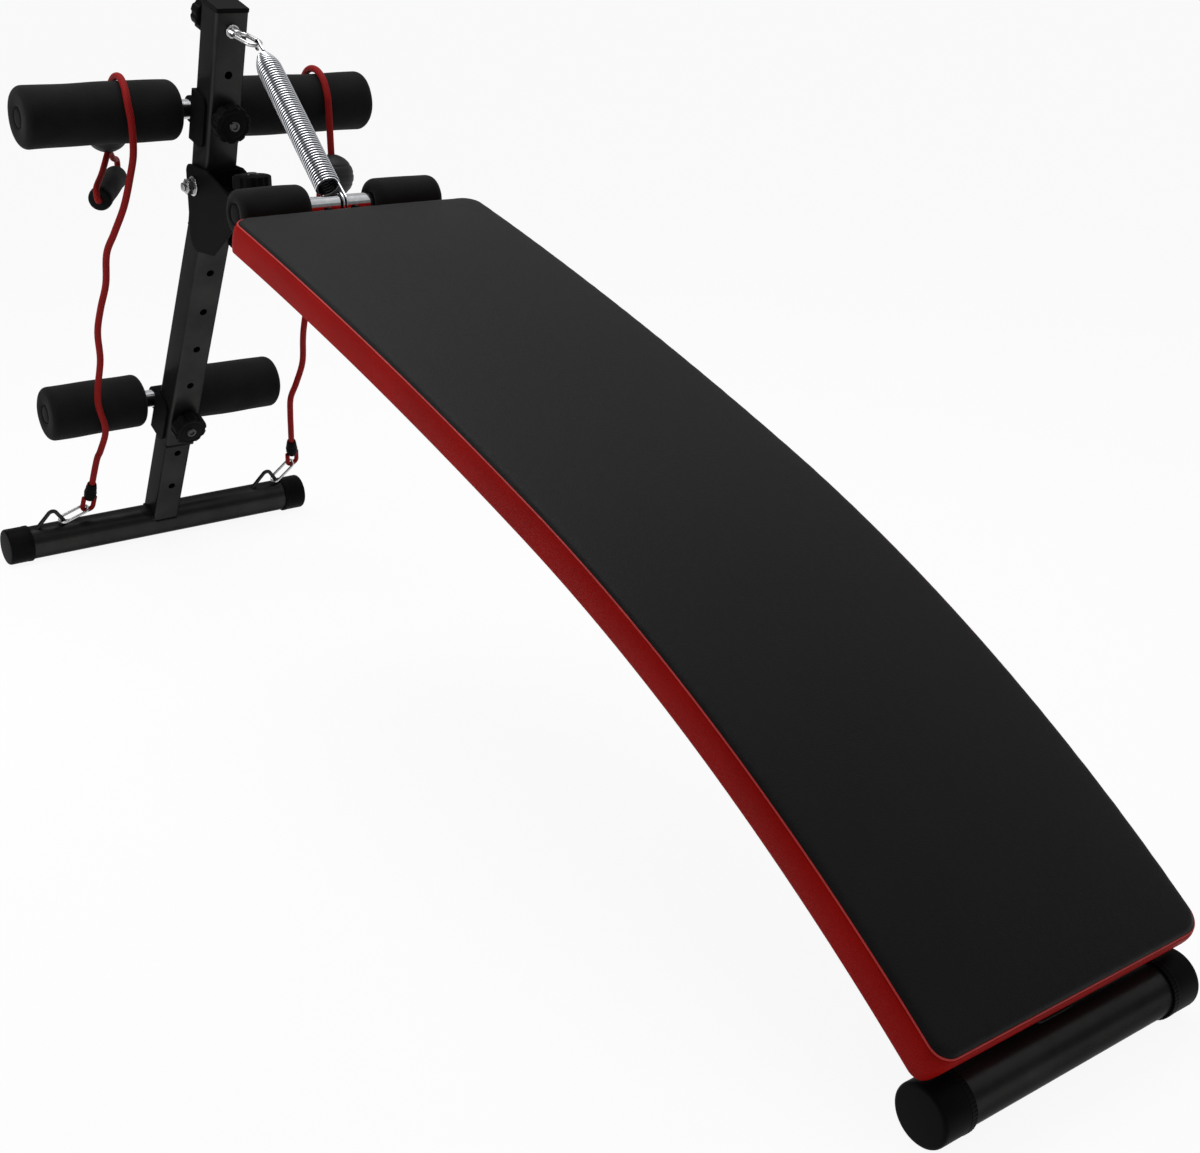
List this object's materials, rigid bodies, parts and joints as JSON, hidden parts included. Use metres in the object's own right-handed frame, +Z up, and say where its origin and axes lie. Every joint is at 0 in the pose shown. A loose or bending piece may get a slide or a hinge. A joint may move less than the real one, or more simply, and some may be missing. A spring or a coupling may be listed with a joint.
{
  "type": "decline sit-up bench",
  "caption": "Decline sit-up bench: curved padded board hinged to a bent post on a floor tube, with foam leg rollers, a stretch spring and red pull cords.",
  "frame": {"origin": "on the floor, at the middle of the object's length and width", "axes": "+Z up, +X along the bench from the post to the low end, Y across"},
  "size_m": [1.526, 0.416, 0.6866],
  "materials": {
    "frame_paint": "semi-gloss",
    "black_paint": "semi-gloss",
    "black_plastic": "satin",
    "foam": "matte",
    "chrome": "polished",
    "zinc": "satin",
    "cover": "satin, red sides",
    "board": "matte",
    "cord": "satin"
  },
  "bodies": {
    "post": {"base_tube": "frame_paint", "base_cap_left": "black_plastic", "base_cap_right": "black_plastic", "leg_tube": "frame_paint", "rope_anchor_left": "frame_paint", "rope_anchor_right": "frame_paint", "link_left": "zinc", "link_right": "zinc", "post_tube": "frame_paint", "post_bush": "black_plastic", "post_top_cap": "black_plastic", "eye_bolt": "zinc", "upper_bracket": "black_paint", "lower_bracket": "black_paint", "bracket_nuts": "zinc", "upper_roller_tube": "chrome", "lower_roller_tube": "chrome", "roller_plugs": "black_plastic", "pivot_bolt": "zinc", "pivot_nut": "zinc", "pivot_washers": "zinc", "rope_left": "cord", "rope_right": "cord", "rope_loops": "cord", "rope_sleeves": "black_plastic", "cord_balls": "black_plastic", "handle_cord_left": "cord", "handle_cord_right": "cord", "grips": "foam"},
    "bench": {"hinge_bracket": "black_paint", "receiver_tube": "black_paint", "receiver_nut": "zinc", "frame_tube": "frame_paint", "knee_cradle": "frame_paint", "knee_tube": "chrome", "knee_plugs": "black_plastic", "spring": "chrome", "pad_straps": "black_paint", "pad_board": "board", "pad_screws": "zinc", "pad_cushion": "cover", "low_tube": "frame_paint", "low_cap_left": "black_plastic", "low_cap_right": "black_plastic"},
    "upper_roller_left": {"upper_foam_left": "foam"},
    "upper_roller_right": {"upper_foam_right": "foam"},
    "lower_roller_left": {"lower_foam_left": "foam"},
    "lower_roller_right": {"lower_foam_right": "foam"},
    "knee_roller_left": {"knee_foam_left": "foam"},
    "knee_roller_right": {"knee_foam_right": "foam"},
    "eye_nut": {"eye_knob": "black_plastic"},
    "upper_clamp": {"upper_knob": "black_plastic", "upper_stud": "zinc"},
    "lower_clamp": {"lower_knob": "black_plastic", "lower_stud": "zinc"},
    "frame_clamp": {"frame_knob": "black_plastic", "frame_stud": "zinc"}
  },
  "joints": [
    {"name": "bench_fold", "type": "hinge", "parent": "post", "child": "bench", "pos_m": [-0.4976, 0, 0.47998], "axis": [0, 1, 0], "range_deg": [0, 20], "deforming": ["spring"]},
    {"name": "upper_left_spin", "type": "hinge", "parent": "post", "child": "upper_roller_left", "pos_m": [-0.51743, 0, 0.56254], "axis": [0, 1, 0], "continuous": true},
    {"name": "upper_right_spin", "type": "hinge", "parent": "post", "child": "upper_roller_right", "pos_m": [-0.51743, 0, 0.56254], "axis": [0, 1, 0], "continuous": true},
    {"name": "lower_left_spin", "type": "hinge", "parent": "post", "child": "lower_roller_left", "pos_m": [-0.69525, 0, 0.19556], "axis": [0, 1, 0], "continuous": true},
    {"name": "lower_right_spin", "type": "hinge", "parent": "post", "child": "lower_roller_right", "pos_m": [-0.69525, 0, 0.19556], "axis": [0, 1, 0], "continuous": true},
    {"name": "knee_left_spin", "type": "hinge", "parent": "bench", "child": "knee_roller_left", "pos_m": [-0.209, 0, 0.48698], "axis": [0, 1, 0], "continuous": true},
    {"name": "knee_right_spin", "type": "hinge", "parent": "bench", "child": "knee_roller_right", "pos_m": [-0.209, 0, 0.48698], "axis": [0, 1, 0], "continuous": true},
    {"name": "eye_nut_turn", "type": "hinge", "parent": "post", "child": "eye_nut", "pos_m": [-0.43922, 0, 0.65447], "axis": [0.9483, 0, -0.3173], "range_deg": [0, 360]},
    {"name": "upper_clamp_turn", "type": "hinge", "parent": "post", "child": "upper_clamp", "pos_m": [-0.47031, 0, 0.56154], "axis": [0.9483, 0, -0.3173], "range_deg": [0, 360]},
    {"name": "lower_clamp_turn", "type": "hinge", "parent": "post", "child": "lower_clamp", "pos_m": [-0.6491, 0, 0.18599], "axis": [0.8746, 0, -0.4848], "range_deg": [0, 360]},
    {"name": "frame_clamp_turn", "type": "hinge", "parent": "bench", "child": "frame_clamp", "pos_m": [-0.397, 0, 0.45798], "axis": [0, 0, 1], "range_deg": [0, 360]}
  ]
}
